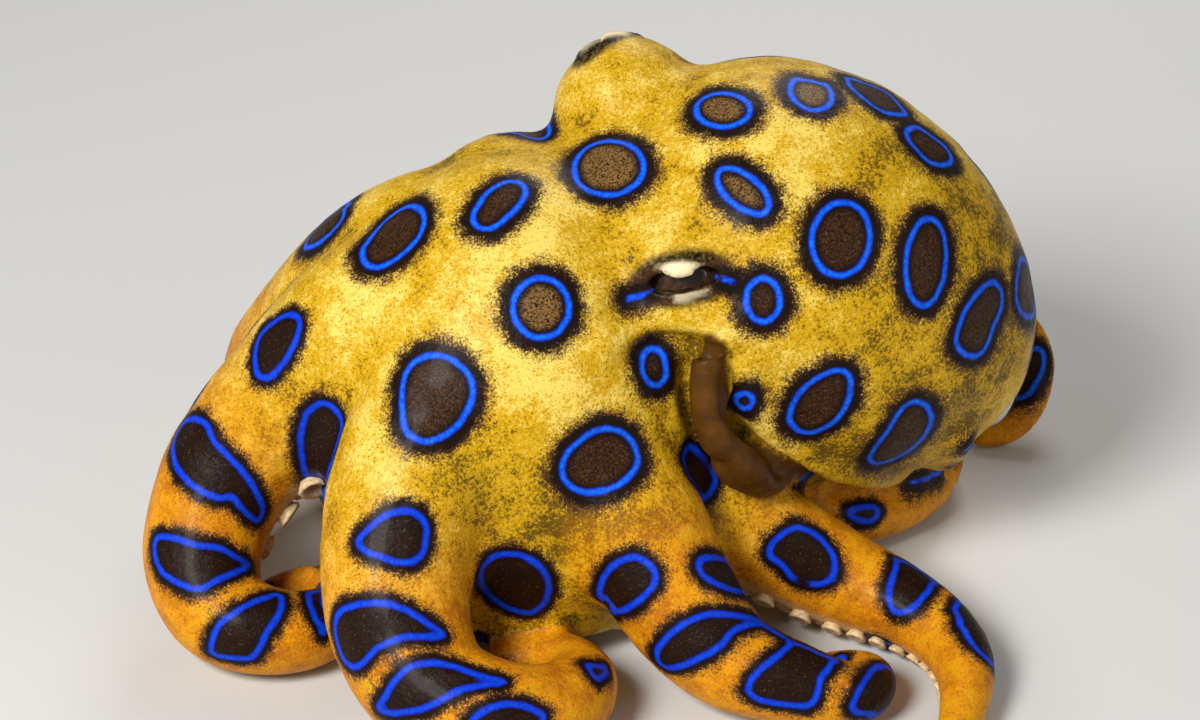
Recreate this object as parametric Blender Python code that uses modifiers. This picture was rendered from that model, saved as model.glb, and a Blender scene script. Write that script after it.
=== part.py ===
# Blue ringed octopus: a still, life-size model that sits with its arms curled round it.
# The arms' crown leans towards -X, the mantle's end points to +X, the animal's left side faces -Y,
# +Z is up, and the arms lie on the plane z = 0. Sizes below are in millimetres, turned to metres by MM.
import math

import bmesh
import bpy
from mathutils import Matrix, Vector
from mathutils.bvhtree import BVHTree

MM = 0.001
GAP = 0.3                      # space kept between two nodes that touch
WELD = 0.02                    # corners nearer than this after a cut become one
FLAT = (2.5, 1.5, 0.7)         # degrees between two faces that may become one, most first

# Where the model stands: this shift puts the middle of its box over the origin.
SHIFT = Vector((-1.78, -0.89, 0.0))

MANTLE_CENTRE = Vector((15.5, 5.0, 22.1))
MANTLE_RADII = (18.6, 15.2, 15.2)
MANTLE_TAPER = 0.12            # share by which it narrows towards its end
MANTLE_DROOP = 31.0            # degrees that the mantle's end hangs down
MANTLE_SWING = 4.0             # degrees that it turns away from the left side
MANTLE_FRONT = 10.0            # x where the mantle is parted from the head

HEAD_CENTRE = Vector((3.5, 3.2, 25.4))
HEAD_RADII = (10.8, 11.0, 10.3)
HEAD_PART_POINT = Vector((-4.0, 5.0, 33.0))
HEAD_PART_NORMAL = Vector((0.765, 0.05, 0.64))

EYE_RADIUS = 3.6
EYE_LID = 0.75                 # radius of the rolled edge of a lid
EYE_SLIT = (3.5, 1.5)          # half length and half height of the opening between the lids
LEFT_EYE = dict(at=Vector((6.0, -4.4, 27.6)), looks=Vector((-0.05, -0.9, 0.42)), mound=5.6, roll=-8.0)
RIGHT_EYE = dict(at=Vector((2.0, 9.6, 34.2)), looks=Vector((-0.31, 0.35, 0.88)), mound=5.4, roll=10.0)

CROWN_CENTRE = Vector((-6.0, -1.0, 13.0))
CROWN_RADII = (15.5, 15.5, 21.5)
CROWN_UNDERSIDE = 2.2          # height of the underside between the arms
WEB_REACH = (6.0, 12.5)        # lengths along two neighbouring arms that the web joins
BODY_VOXEL = 1.4               # grain of the blended head and crown
BODY_FACES = 0.45              # share of its faces that is kept
MOUTH_RADIUS = 3.4
MOUTH_LIP = 1.1

FUNNEL_ROUTE = ((12.5, -7.0, 14.0), (10.4, -11.0, 15.4), (8.9, -12.8, 18.4), (7.8, -12.6, 21.8),
                (7.5, -11.7, 24.6))
FUNNEL_RADII = (2.4, 2.1, 1.8, 1.5, 1.25)
FUNNEL_BORE = (0.8, 3.0)       # radius and depth of the opening at its tip

ARM_TIP = 0.8                  # radius at an arm's tip
ARM_ROOT_OUT = 5.0             # distance of the arms' roots from the middle of the crown
ARM_STEPS = 120
ARM_STAND = 1.1                # how high an arm's middle lies, in radii, so that it stands on its suckers
ARM_SIDES = 2                  # bevel resolution of its tube
ARM_EVERY = 5                  # steps between two rings of its tube
ARM_PARTS = (("base", 0.30, 0.56), ("mid", 0.56, 0.80), ("tip", 0.80, 1.0))

# Suckers sit in two rows under each arm, turned towards the inner side of its curl. Their sizes are in
# radii of the arm where they sit.
SUCKER_ROWS = (-5, 52)         # degrees of each row from straight down
SUCKER_PITCH = 0.8             # length from one sucker to the next, which sits in the other row
SUCKER_RADIUS = 0.3
SUCKER_TAPER = 0.8             # its root's radius, in radii of its rim
SUCKER_RISE = 0.17             # how far its rim stands off the arm
SUCKER_ROOT = 0.25             # how far its root is sunk in
SUCKER_CUP = 0.13              # depth of its cup
SUCKER_SIDES = 6
SUCKER_MARGIN = (0.9, 0.6)     # length that an arm's length keeps free of rims at its start and end
OWN_STRETCH = (2.6, 1.0)       # radii plus millimetres of its own arm that a sucker may lie beside
CROWN_NEAR = 2.0               # past this length from the crown nothing can be inside it

# Each arm leaves the crown at an azimuth and height, heads off in a direction, comes down to the floor
# over its landing length, and bends: each pair is a length and the degrees it turns over that length.
# A hump is the length at which an arm lifts off the floor, by how much, and over how long each way.
ARMS = {
    "arm_left_1": dict(azimuth=192, heading=187, height=24.0, landing=27, root=7.2,
                       bends=((14, 0), (17, 185), (9, 110), (8, 130))),
    "arm_left_2": dict(azimuth=238, heading=240, height=20.5, landing=22, root=7.2,
                       bends=((10, 0), (15, 108), (12, 125), (9, 145), (3, 60))),
    "arm_left_3": dict(azimuth=292, heading=314, height=17.0, landing=20, root=6.8,
                       bends=((12.5, -2), (14, 42), (8, 172), (2.5, 20))),
    "arm_left_4": dict(azimuth=330, heading=347, height=12.0, landing=22, root=5.8,
                       bends=((17, 0), (10, -28), (8, -55), (6, -15), (5, 40))),
    "arm_right_1": dict(azimuth=145, heading=152, height=25.0, landing=26, root=7.4,
                        bends=((13, 5), (16.5, -180), (9, -120), (7, -120))),
    "arm_right_2": dict(azimuth=100, heading=80, height=27.0, landing=26, root=6.8,
                        bends=((16, -4), (15, 110), (9, 140), (6, 90))),
    "arm_right_3": dict(azimuth=55, heading=62, height=14.0, landing=20, root=7.4, hump=(46, 5.0, 10),
                        bends=((15, -5), (12, -50), (17, 2), (9, -140), (4, -60))),
    "arm_right_4": dict(azimuth=15, heading=8, height=8.5, landing=20, root=5.2,
                        bends=((18, -4), (12, 62), (8, 50), (7, 120), (6, 60))),
}
ARMS_BY_MANTLE = ("arm_left_4", "arm_right_3", "arm_right_4")

# Colour, roughness and metallic value of each material.
MATERIALS = {
    "skin": ((0.62, 0.40, 0.10), 0.42, 0.0),
    "arm_skin": ((0.72, 0.36, 0.06), 0.40, 0.0),
    "eye": ((0.05, 0.03, 0.02), 0.12, 0.0),
    "funnel": ((0.42, 0.24, 0.07), 0.38, 0.0),
}


def place(point):
    """World position in metres of a point given in the model's millimetres."""
    return (Vector(point) + SHIFT) * MM


def clear_scene():
    for thing in list(bpy.data.objects):
        bpy.data.objects.remove(thing, do_unlink=True)


def new_collection(name):
    collection = bpy.data.collections.new(name)
    bpy.context.scene.collection.children.link(collection)
    return collection


def make_material(name):
    colour, roughness, metallic = MATERIALS[name]
    material = bpy.data.materials.new(name)
    material.use_nodes = True
    shader = material.node_tree.nodes["Principled BSDF"]
    shader.inputs["Base Color"].default_value = (*colour, 1.0)
    shader.inputs["Roughness"].default_value = roughness
    shader.inputs["Metallic"].default_value = metallic
    return material


def object_from(name, bm, collection):
    mesh = bpy.data.meshes.new(name)
    bm.to_mesh(mesh)
    bm.free()
    thing = bpy.data.objects.new(name, mesh)
    collection.objects.link(thing)
    return thing


def ellipsoid(bm, centre, radii, turn=None, detail=(32, 20)):
    """Adds a sphere drawn out to three radii and turned about its centre."""
    matrix = Matrix.Translation(place(centre))
    if turn:
        matrix = matrix @ turn.to_4x4()
    matrix = matrix @ Matrix.Diagonal((*(Vector(radii) * MM), 1.0))
    ball = bmesh.new()
    bmesh.ops.create_uvsphere(ball, u_segments=detail[0], v_segments=detail[1], radius=1.0, matrix=matrix)
    mesh = bpy.data.meshes.new("ball")
    ball.to_mesh(mesh)
    ball.free()
    bm.from_mesh(mesh)
    bpy.data.meshes.remove(mesh)


def facing(direction, roll=0.0):
    """Rotation whose Z axis points along a direction and whose X axis stays level, then rolled."""
    z = direction.normalized()
    x = Vector((0, 0, 1)).cross(z).normalized()
    turn = Matrix((x, z.cross(x), z)).transposed()
    return turn @ Matrix.Rotation(math.radians(roll), 3, "Z")


def apply_modifier(thing, kind, **settings):
    """Adds a modifier, takes the evaluated mesh and drops the modifier."""
    modifier = thing.modifiers.new(kind.title(), kind)
    for key, value in settings.items():
        setattr(modifier, key, value)
    graph = bpy.context.evaluated_depsgraph_get()
    graph.update()
    mesh = bpy.data.meshes.new_from_object(thing.evaluated_get(graph))
    thing.modifiers.clear()
    thing.data = mesh


def combine(thing, other, operation, solver="MANIFOLD"):
    """Joins or cuts one mesh object with another, which is then removed."""
    apply_modifier(thing, "BOOLEAN", object=other, operation=operation, solver=solver)
    bpy.data.objects.remove(other, do_unlink=True)


def loose_groups(bm):
    """Lists of faces, one for each closed surface, smallest first; an edge with over two faces parts them."""
    left = set(bm.faces)
    groups = []
    while left:
        start = left.pop()
        group, stack = [start], [start]
        while stack:
            for edge in stack.pop().edges:
                if len(edge.link_faces) != 2:
                    continue
                for face in edge.link_faces:
                    if face in left:
                        left.remove(face)
                        group.append(face)
                        stack.append(face)
        groups.append(group)
    return sorted(groups, key=len)


def keep_largest(thing):
    """Keeps only the largest closed surface of an object."""
    bm = bmesh.new()
    bm.from_mesh(thing.data)
    bmesh.ops.triangulate(bm, faces=bm.faces)
    bmesh.ops.remove_doubles(bm, verts=bm.verts, dist=WELD * MM)
    bmesh.ops.dissolve_degenerate(bm, edges=bm.edges, dist=WELD * MM)
    for group in loose_groups(bm)[:-1]:
        bmesh.ops.delete(bm, geom=group, context="FACES")
    bm.to_mesh(thing.data)
    bm.free()


def tidy(thing):
    """Joins triangles that lie flat beside each other, as far as the surface stays closed."""
    for angle in FLAT:
        bm = bmesh.new()
        bm.from_mesh(thing.data)
        bmesh.ops.dissolve_limit(bm, angle_limit=math.radians(angle), verts=bm.verts, edges=bm.edges)
        bmesh.ops.triangulate(bm, faces=bm.faces)
        closed = all(len(edge.link_faces) == 2 for edge in bm.edges)
        if closed:
            bm.to_mesh(thing.data)
        bm.free()
        if closed:
            return


def keep_nearest(thing, point):
    """Keeps only the closed surface whose middle is nearest to a point."""
    bm = bmesh.new()
    bm.from_mesh(thing.data)
    groups = [group for group in loose_groups(bm) if len(group) > 20]
    middles = [sum((face.calc_center_median() for face in group), Vector()) / len(group) for group in groups]
    nearest = min(range(len(groups)), key=lambda i: (middles[i] - place(point)).length)
    kept = set(groups[nearest])
    bmesh.ops.delete(bm, geom=[face for face in bm.faces if face not in kept], context="FACES")
    bm.to_mesh(thing.data)
    bm.free()


def tube(name, points, radii, collection, sides=3):
    """A tapered tube with flat, welded caps along a list of points."""
    curve = bpy.data.curves.new(name, "CURVE")
    curve.dimensions = "3D"
    curve.bevel_depth = 1.0 * MM
    curve.bevel_resolution = sides
    curve.use_fill_caps = True
    spline = curve.splines.new("POLY")
    spline.points.add(len(points) - 1)
    for target, point, radius in zip(spline.points, points, radii):
        target.co = (*place(point), 1.0)
        target.radius = radius
    guide = bpy.data.objects.new(name + "_curve", curve)
    collection.objects.link(guide)
    graph = bpy.context.evaluated_depsgraph_get()
    graph.update()
    mesh = bpy.data.meshes.new_from_object(guide.evaluated_get(graph))
    bpy.data.objects.remove(guide, do_unlink=True)
    bm = bmesh.new()
    bm.from_mesh(mesh)
    bmesh.ops.remove_doubles(bm, verts=bm.verts, dist=0.01 * MM)
    bmesh.ops.recalc_face_normals(bm, faces=bm.faces)
    bm.to_mesh(mesh)
    bm.free()
    thing = bpy.data.objects.new(name, mesh)
    collection.objects.link(thing)
    return thing


def box(name, low, high, collection, turn=None, pivot=(0, 0, 0)):
    """A box between two corners, which may be turned about a pivot."""
    bm = bmesh.new()
    bmesh.ops.create_cube(bm, size=1.0)
    low, high = Vector(low), Vector(high)
    bmesh.ops.scale(bm, vec=(high - low) * MM, verts=bm.verts)
    bmesh.ops.translate(bm, vec=(low + high) / 2 * MM, verts=bm.verts)
    if turn:
        bmesh.ops.rotate(bm, cent=(0, 0, 0), matrix=turn, verts=bm.verts)
    bmesh.ops.translate(bm, vec=place(pivot), verts=bm.verts)
    return object_from(name, bm, collection)


def smooth_step(value):
    value = min(max(value, 0.0), 1.0)
    return value * value * (3 - 2 * value)


def arm_route(arm):
    """Points and radii at even steps along an arm, from inside the crown to its tip."""
    length = sum(part for part, turn in arm["bends"])
    step = length / ARM_STEPS
    rates = []
    for part, turn in arm["bends"]:
        rates += [math.radians(turn) / part] * round(part / step)
    rates += [rates[-1]] * (ARM_STEPS + 1 - len(rates))
    azimuth = math.radians(arm["azimuth"])
    x = CROWN_CENTRE.x + ARM_ROOT_OUT * math.cos(azimuth)
    y = CROWN_CENTRE.y + ARM_ROOT_OUT * math.sin(azimuth)
    heading = math.radians(arm["heading"])
    points, radii = [], []
    for i in range(ARM_STEPS + 1):
        near = rates[max(i - 4, 0):i + 5]
        radius = ARM_TIP + (arm["root"] - ARM_TIP) * (1 - i / ARM_STEPS)
        fall = 1 - smooth_step(i * step / arm["landing"])
        top, rise, half = arm.get("hump", (0, 0, 1))
        lift = arm["height"] * fall + rise * smooth_step(1 - abs(i * step - top) / half)
        points.append(Vector((x, y, radius * ARM_STAND * (1 - fall) + lift)))
        radii.append(radius)
        heading += sum(near) / len(near) * step
        x += math.cos(heading) * step
        y += math.sin(heading) * step
    return points, radii


def part_of_route(route, start, end, every=ARM_EVERY):
    """The stretch of a route between two shares of its length, with a point every few steps."""
    points, radii = route
    first, last = start * ARM_STEPS, end * ARM_STEPS
    inner = [i for i in range(0, ARM_STEPS + 1, every) if first + 1.5 < i < last - 1.5]
    stops = [first, first + 0.5] + inner + [last - 0.5, last]
    chosen, sizes = [], []
    for stop in stops:
        i = min(int(stop), ARM_STEPS - 1)
        chosen.append(points[i].lerp(points[i + 1], stop - i))
        sizes.append(radii[i] + (radii[i + 1] - radii[i]) * (stop - i))
    return chosen, sizes


def egg(name, collection, grow=0.0, detail=(32, 20)):
    """The mantle's form, which may be grown all round."""
    bm = bmesh.new()
    turn = (Matrix.Rotation(math.radians(MANTLE_SWING), 3, "Z")
            @ Matrix.Rotation(math.radians(MANTLE_DROOP), 3, "Y")
            @ Matrix.Rotation(math.radians(90), 3, "Y"))
    length, width, height = MANTLE_RADII
    radii = Vector((height + grow, width + grow, length + grow))
    ellipsoid(bm, MANTLE_CENTRE, radii, turn, detail)
    middle = place(MANTLE_CENTRE)
    axis = turn.col[2]
    for vert in bm.verts:
        along = (vert.co - middle).dot(axis)
        across = vert.co - middle - axis * along
        vert.co -= across * MANTLE_TAPER * along / (length * MM)
    return object_from(name, bm, collection)


def eye_mound(bm, eye):
    """The raised turret round an eye."""
    size = eye["mound"]
    ellipsoid(bm, eye["at"], (size * 1.06, size, size * 0.98), facing(eye["looks"], eye["roll"]))


def add_web(bm, first, second):
    """Fills the space between two neighbouring arms near their roots."""
    for share in range(5):
        reach = WEB_REACH[0] + (WEB_REACH[1] - WEB_REACH[0]) * share / 4
        ends = []
        for points, radii in (first, second):
            step = (points[1] - points[0]).length
            i = min(round(reach / step), ARM_STEPS)
            ends.append((points[i], radii[i]))
        for k in (0.25, 0.5, 0.75):
            centre = ends[0][0].lerp(ends[1][0], k)
            size = (ends[0][1] + ends[1][1]) / 2 * (0.86 - 0.1 * share - 0.2 * (1 - abs(2 * k - 1)))
            ellipsoid(bm, centre, (size, size, size), None, (16, 10))


def make_body(routes, collection):
    """Head, crown and the arms' roots as one blended form."""
    bm = bmesh.new()
    ellipsoid(bm, HEAD_CENTRE, HEAD_RADII)
    ellipsoid(bm, CROWN_CENTRE, CROWN_RADII)
    for eye in (LEFT_EYE, RIGHT_EYE):
        eye_mound(bm, eye)
    names = list(routes)
    ring = names[:4] + names[:3:-1]
    for name, following in zip(ring, ring[1:] + ring[:1]):
        add_web(bm, routes[name], routes[following])
    for points, radii in routes.values():
        for i in range(0, int((ARM_PARTS[0][1] + 0.06) * ARM_STEPS), 2):
            size = radii[i]
            ellipsoid(bm, points[i], (size, size, size), None, (16, 10))
    mantle = egg("body_mantle", collection)
    bm.from_mesh(mantle.data)
    bpy.data.objects.remove(mantle, do_unlink=True)
    body = object_from("body", bm, collection)
    apply_modifier(body, "REMESH", mode="VOXEL", voxel_size=BODY_VOXEL * MM)
    apply_modifier(body, "SMOOTH", factor=0.5, iterations=3)
    apply_modifier(body, "DECIMATE", ratio=BODY_FACES)
    return body


def cut_floor(thing, height, collection):
    combine(thing, box("floor_cutter", (-90, -90, -30), (90, 90, height), collection), "DIFFERENCE")


def make_mantle(parts, cutters):
    mantle = egg("mantle", parts, detail=(40, 26))
    combine(mantle, box("front_cutter", (-90, -90, -90), (MANTLE_FRONT, 90, 90), cutters), "DIFFERENCE")
    return mantle


def clear_of_mantle(thing, cutters):
    """Cuts away what would lie in the mantle, and keeps the gap to it."""
    room = egg("mantle_room", cutters, GAP)
    ahead = box("front_room", (-90, -90, -90), (MANTLE_FRONT - GAP, 90, 90), cutters)
    combine(room, ahead, "DIFFERENCE")
    combine(thing, room, "DIFFERENCE")


def make_head(body, cutters):
    """The head, parted from the crown, with its lids and eye sockets."""
    turn = facing(HEAD_PART_NORMAL)
    slab = box("head_cutter", (-90, -90, -90), (90, 90, GAP / 2), cutters, turn, HEAD_PART_POINT)
    combine(body, slab, "DIFFERENCE")
    for eye in (LEFT_EYE, RIGHT_EYE):
        combine(body, lid_ring(eye, cutters), "UNION")
        combine(body, socket(eye, cutters), "DIFFERENCE")
    clear_of_mantle(body, cutters)
    keep_largest(body)
    return body


def lid_ring(eye, collection):
    """The rolled edge of both lids, a ring round the slit that lies on the eye."""
    turn = facing(eye["looks"], eye["roll"])
    reach = EYE_RADIUS + 1.1
    points = []
    for i in range(24):
        angle = math.tau * i / 24
        across = (EYE_SLIT[0] + EYE_LID) * math.cos(angle)
        up = (EYE_SLIT[1] + EYE_LID) * math.sin(angle)
        depth = math.sqrt(reach ** 2 - across ** 2 - up ** 2)
        points.append(eye["at"] + turn @ Vector((across, up, depth)))
    curve = bpy.data.curves.new("lids", "CURVE")
    curve.dimensions = "3D"
    curve.bevel_depth = EYE_LID * MM
    curve.bevel_resolution = 2
    spline = curve.splines.new("POLY")
    spline.points.add(len(points) - 1)
    spline.use_cyclic_u = True
    for target, point in zip(spline.points, points):
        target.co = (*place(point), 1.0)
    guide = bpy.data.objects.new("lids_curve", curve)
    collection.objects.link(guide)
    graph = bpy.context.evaluated_depsgraph_get()
    graph.update()
    mesh = bpy.data.meshes.new_from_object(guide.evaluated_get(graph))
    bpy.data.objects.remove(guide, do_unlink=True)
    ring = bpy.data.objects.new("lids", mesh)
    collection.objects.link(ring)
    return ring


def socket(eye, collection):
    """The hollow that holds an eye, with its slit through the lids."""
    bm = bmesh.new()
    size = EYE_RADIUS + GAP
    ellipsoid(bm, eye["at"], (size, size, size), facing(eye["looks"], eye["roll"]), (24, 14))
    hollow = object_from("socket", bm, collection)
    bm = bmesh.new()
    turn = facing(eye["looks"], eye["roll"])
    middle = eye["at"] + turn @ Vector((0, 0, EYE_RADIUS))
    ellipsoid(bm, middle, (EYE_SLIT[0], EYE_SLIT[1], 4.0), turn, (20, 12))
    combine(hollow, object_from("slit", bm, collection), "UNION")
    return hollow


def make_eye(name, eye, collection):
    bm = bmesh.new()
    size = EYE_RADIUS
    ellipsoid(bm, eye["at"], (size, size, size), facing(eye["looks"], eye["roll"]), (16, 10))
    return object_from(name, bm, collection)


def make_funnel(collection, cutters, grow=0.0):
    """The funnel, a short tube that bends up beside the head, open at its tip."""
    points = [Vector(point) for point in FUNNEL_ROUTE]
    fine, sizes = [], []
    count = 3
    for i in range(len(points) - 1):
        before = points[max(i - 1, 0)]
        after = points[min(i + 2, len(points) - 1)]
        for k in range(count):
            t = k / count
            fine.append(curved(before, points[i], points[i + 1], after, t))
            sizes.append(FUNNEL_RADII[i] + (FUNNEL_RADII[i + 1] - FUNNEL_RADII[i]) * t + grow)
    fine.append(points[-1] + (points[-1] - points[-2]).normalized() * grow)
    sizes.append(FUNNEL_RADII[-1] + grow)
    funnel = tube("funnel", fine, sizes, collection)
    if not grow:
        tip, back = points[-1], (points[-2] - points[-1]).normalized()
        radius, depth = FUNNEL_BORE
        bore = tube("bore", (tip - back, tip + back * depth), (radius, radius * 0.7), cutters)
        combine(funnel, bore, "DIFFERENCE")
    return funnel


def curved(before, start, end, after, t):
    """A point on the smooth curve through four points."""
    return 0.5 * (2 * start + (end - before) * t + (2 * before - 5 * start + 4 * end - after) * t ** 2
                  + (3 * start - before - 3 * end + after) * t ** 3)


def make_crown(body, routes, cutters):
    """The crown that the arms grow from, flat beneath, with the lips of the mouth."""
    turn = facing(HEAD_PART_NORMAL)
    slab = box("crown_cutter", (-90, -90, -GAP / 2), (90, 90, 90), cutters, turn, HEAD_PART_POINT)
    combine(body, slab, "DIFFERENCE")
    cut_floor(body, CROWN_UNDERSIDE, cutters)
    lips = bmesh.new()
    ellipsoid(lips, (CROWN_CENTRE.x, CROWN_CENTRE.y, CROWN_UNDERSIDE + 0.3),
              (MOUTH_RADIUS, MOUTH_RADIUS, MOUTH_LIP * 1.4), None, (16, 8))
    combine(body, object_from("lips", lips, cutters), "UNION")
    hollow = bmesh.new()
    ellipsoid(hollow, (CROWN_CENTRE.x, CROWN_CENTRE.y, CROWN_UNDERSIDE - MOUTH_LIP * 1.2),
              (MOUTH_RADIUS * 0.5, MOUTH_RADIUS * 0.5, MOUTH_LIP * 1.2), None, (12, 6))
    combine(body, object_from("mouth", hollow, cutters), "DIFFERENCE")
    for route in routes.values():
        points, radii = part_of_route(route, ARM_PARTS[0][1], 1.0)
        grown = [radius + GAP for radius in radii]
        combine(body, tube("arm_cutter", points, grown, cutters), "DIFFERENCE")
    keep_largest(body)
    return body


def sucker_spots(name, routes):
    """For each sucker of an arm: the arm's middle there, its radius and the way the sucker faces."""
    points, radii = routes[name]
    turns = sum(turn for part, turn in ARMS[name]["bends"])
    side = 1 if turns > 0 else -1
    step = (points[-1] - points[-2]).length
    count = 0
    for part, start, end in ARM_PARTS:
        near, far = start * ARM_STEPS, end * ARM_STEPS
        stops = [near + (SUCKER_RADIUS * radii[int(near)] + SUCKER_MARGIN[0]) / step]
        while stops[-1] < far:
            stops.append(stops[-1] + SUCKER_PITCH * radii[min(int(stops[-1]), ARM_STEPS)] / step)
        last = far - (SUCKER_RADIUS * radii[int(far)] + SUCKER_MARGIN[1]) / step
        stretch = (last - stops[0]) / (stops[-2] - stops[0])
        for stop in stops[:-1]:
            i = min(round(stops[0] + (stop - stops[0]) * stretch), ARM_STEPS - 1)
            ahead = (points[i + 1] - points[i - 1]).normalized()
            down = (ahead * ahead.z - Vector((0, 0, 1))).normalized()
            turn = Matrix.Rotation(side * math.radians(SUCKER_ROWS[count % 2]), 3, ahead)
            count += 1
            yield points[i], radii[i], turn @ down, ahead, i


def is_free(spot, size, name, index, routes, body):
    """True if a sucker keeps clear of the crown, of the other arms and of its own arm's other coils."""
    near, normal, face, gap = body.find_nearest(place(spot))
    sunk = (place(spot) - near).dot(normal) < 0
    if gap < (size + GAP) * MM or (sunk and gap < CROWN_NEAR * MM):
        return False
    for other, (points, radii) in routes.items():
        for i in range(int(ARM_PARTS[0][1] * ARM_STEPS), ARM_STEPS + 1, 2):
            step = (points[i] - points[i - 1]).length
            own = OWN_STRETCH[0] * radii[min(i, index)] + OWN_STRETCH[1]
            if other == name and abs(i - index) * step < own:
                continue
            if (points[i] - spot).length < radii[i] + size + GAP:
                return False
    return True


def add_suckers(arm, name, routes, body):
    """Fuses both rows of suckers with an arm, their roots sunk into it."""
    suckers = new_collection(name + "_suckers")
    for middle, radius, facing_out, ahead, index in sucker_spots(name, routes):
        size, rise, root = (radius * share for share in (SUCKER_RADIUS, SUCKER_RISE, SUCKER_ROOT))
        if not is_free(middle + facing_out * (radius + rise / 2), size, name, index, routes, body):
            continue
        bm = bmesh.new()
        bmesh.ops.create_cone(bm, cap_ends=True, segments=SUCKER_SIDES, radius1=size * SUCKER_TAPER * MM,
                              radius2=size * MM, depth=(rise + root) * MM)
        rim = max(bm.faces, key=lambda face: face.calc_center_median().z)
        bmesh.ops.poke(bm, faces=[rim], offset=-SUCKER_CUP * radius * MM)
        across = ahead - facing_out * ahead.dot(facing_out)
        turn = Matrix((across.normalized(), facing_out.cross(across).normalized(), facing_out)).transposed()
        bmesh.ops.transform(bm, matrix=turn.to_4x4(), verts=bm.verts)
        bmesh.ops.translate(bm, vec=place(middle + facing_out * (radius + (rise - root) / 2)), verts=bm.verts)
        object_from("sucker", bm, suckers)
    apply_modifier(arm, "BOOLEAN", operand_type="COLLECTION", collection=suckers, operation="UNION",
                   solver="MANIFOLD")
    for sucker in list(suckers.objects):
        bpy.data.objects.remove(sucker, do_unlink=True)
    bpy.data.collections.remove(suckers)


def make_arm(name, routes, body, collection, cutters):
    """An arm made whole, then parted into lengths by thin cuts."""
    route = routes[name]
    reach = sum(part for part, turn in ARMS[name]["bends"])
    points, radii = part_of_route(route, ARM_PARTS[0][1] + GAP / reach, 1.0)
    whole = tube(name, points, radii, collection, ARM_SIDES)
    add_suckers(whole, name, routes, body)
    cut_floor(whole, 0, cutters)
    if name in ARMS_BY_MANTLE:
        clear_of_mantle(whole, cutters)
    for part, start, end in ARM_PARTS[1:]:
        spots, sizes = part_of_route(route, start, start + GAP / reach)
        grown = [size + 2 * GAP for size in sizes]
        combine(whole, tube("part_cutter", (spots[0], spots[-1]), (grown[0], grown[-1]), cutters), "DIFFERENCE")
    lengths = []
    for part, start, end in ARM_PARTS:
        spots, sizes = part_of_route(route, start, end)
        piece = bpy.data.objects.new(name + "_" + part, whole.data.copy())
        collection.objects.link(piece)
        keep_nearest(piece, sum(spots, Vector()) / len(spots))
        lengths.append(piece)
    bpy.data.objects.remove(whole, do_unlink=True)
    return lengths


def build():
    clear_scene()
    parts = new_collection("blue_ringed_octopus")
    cutters = new_collection("cutters")
    routes = {name: arm_route(arm) for name, arm in ARMS.items()}
    materials = {name: make_material(name) for name in MATERIALS}

    mantle = make_mantle(parts, cutters)
    body = make_body(routes, parts)
    clear_of_mantle(body, cutters)
    keep_largest(body)
    funnel = make_funnel(parts, cutters)
    for thing in (body, mantle):
        combine(thing, make_funnel(cutters, cutters, GAP), "DIFFERENCE")
    keep_largest(body)
    keep_largest(mantle)

    head = body
    head.name = "head"
    web = bpy.data.objects.new("web", body.data.copy())
    parts.objects.link(web)
    make_head(head, cutters)
    make_crown(web, routes, cutters)
    eyes = [make_eye("eye_left", LEFT_EYE, parts), make_eye("eye_right", RIGHT_EYE, parts)]

    arms = []
    shape = BVHTree.FromObject(web, bpy.context.evaluated_depsgraph_get())
    for name in routes:
        arms += make_arm(name, routes, shape, parts, cutters)

    for thing in (mantle, head, web):
        thing.data.materials.clear()
        thing.data.materials.append(materials["skin"])
    for thing in arms:
        thing.data.materials.append(materials["arm_skin"])
    for thing in eyes:
        thing.data.materials.append(materials["eye"])
    funnel.data.materials.append(materials["funnel"])
    for thing in [mantle, head, web] + arms:
        tidy(thing)
    for thing in parts.objects:
        thing.data.shade_smooth()


build()
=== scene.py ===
import math
import random

import bmesh
import bpy
import numpy as np
from mathutils import Matrix, Vector, noise
from mathutils.bvhtree import BVHTree
from mathutils.kdtree import KDTree


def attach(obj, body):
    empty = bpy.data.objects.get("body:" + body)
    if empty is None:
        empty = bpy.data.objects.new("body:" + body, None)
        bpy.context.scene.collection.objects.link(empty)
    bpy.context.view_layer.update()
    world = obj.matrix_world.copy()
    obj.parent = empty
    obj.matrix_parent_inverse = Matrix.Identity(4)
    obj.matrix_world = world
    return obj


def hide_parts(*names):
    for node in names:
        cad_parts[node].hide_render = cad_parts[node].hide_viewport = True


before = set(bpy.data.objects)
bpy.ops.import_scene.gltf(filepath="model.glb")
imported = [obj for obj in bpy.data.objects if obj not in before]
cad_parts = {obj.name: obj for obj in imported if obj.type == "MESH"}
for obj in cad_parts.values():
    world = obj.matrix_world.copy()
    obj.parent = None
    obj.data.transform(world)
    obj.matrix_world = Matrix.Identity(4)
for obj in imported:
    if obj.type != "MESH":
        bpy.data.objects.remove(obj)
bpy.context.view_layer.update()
print("frame loaded")

mm = 0.001
standing = Vector((-1.78, -0.89, 0.0))      # puts the middle of the model over the origin, as in the solids
pieces = bpy.data.collections.new("octopus")
bpy.context.scene.collection.children.link(pieces)


def place(point):
    return (Vector(point) + standing) * mm


def pieceFrom(name, bm):
    mesh = bpy.data.meshes.new(name)
    bm.to_mesh(mesh)
    bm.free()
    piece = bpy.data.objects.new(name, mesh)
    pieces.objects.link(piece)
    return piece


def applied(piece, kind, **settings):
    # adds one modifier and keeps its result as the piece's mesh
    modifier = piece.modifiers.new(kind.title(), kind)
    for key, value in settings.items():
        setattr(modifier, key, value)
    graph = bpy.context.evaluated_depsgraph_get()
    graph.update()
    mesh = bpy.data.meshes.new_from_object(piece.evaluated_get(graph))
    piece.modifiers.clear()
    piece.data = mesh


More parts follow.
